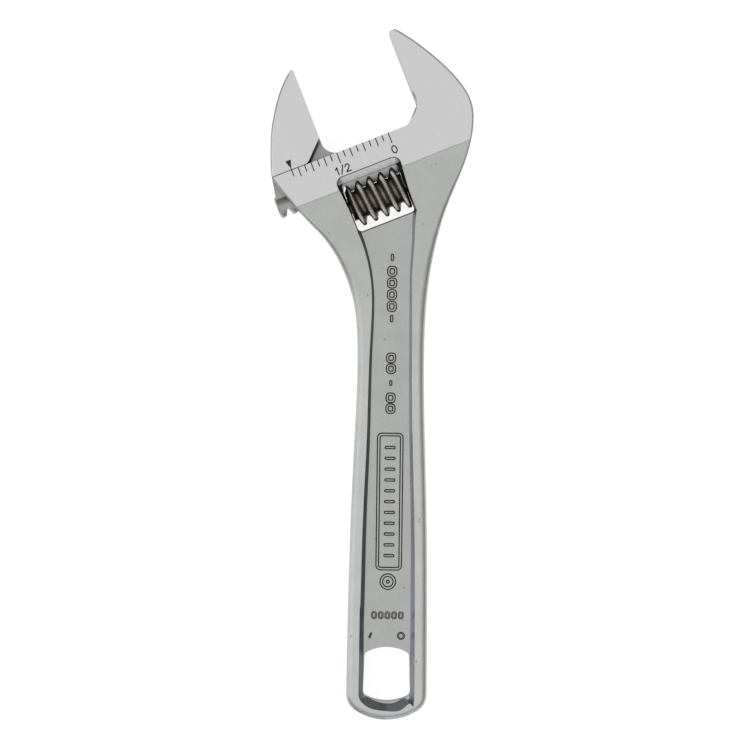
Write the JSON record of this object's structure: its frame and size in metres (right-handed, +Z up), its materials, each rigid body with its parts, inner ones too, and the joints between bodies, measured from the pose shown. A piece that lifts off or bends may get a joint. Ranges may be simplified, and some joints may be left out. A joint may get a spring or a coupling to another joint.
{
  "type": "adjustable wrench",
  "caption": "Forged adjustable wrench: angled head with a fixed jaw, a movable jaw on a rack and web, driven by a knurled worm, and a ribbed handle with a hanging hole.",
  "frame": {"origin": "middle of the footprint, on the surface that the wrench lies on", "axes": "+Y along the handle towards the head, +Z up through the thickness, +X towards the fixed jaw's side"},
  "size_m": [0.0468, 0.1594, 0.0104],
  "materials": {
    "body_steel": "satin chrome over forged steel, ground and brushed head faces",
    "jaw_steel": "ground and brushed faces",
    "worm_steel": "dark heat-treated steel, fine knurl on the crests",
    "pin_steel": "dark steel",
    "spring_steel": "spring wire"
  },
  "bodies": {
    "wrench_body": {"body": "body_steel", "worm_pin": "pin_steel", "pin_spring": "spring_steel"},
    "jaw": {"movable_jaw": "jaw_steel"},
    "worm": {"adjusting_worm": "worm_steel"}
  },
  "joints": [
    {"name": "worm_spin", "type": "hinge", "parent": "wrench_body", "child": "worm", "pos_m": [0.00146, 0.04115, 0.0052], "axis": [-0.9272, -0.3746, 0], "range_deg": [0, 3060.01]},
    {"name": "jaw_slide", "type": "slide", "parent": "wrench_body", "child": "jaw", "axis": [0.9272, 0.3746, 0], "range_m": [0, 0.0238]}
  ],
  "couplings": [
    {"joint": "worm_spin", "follows": "jaw_slide", "rad_per_m": 2244}
  ]
}
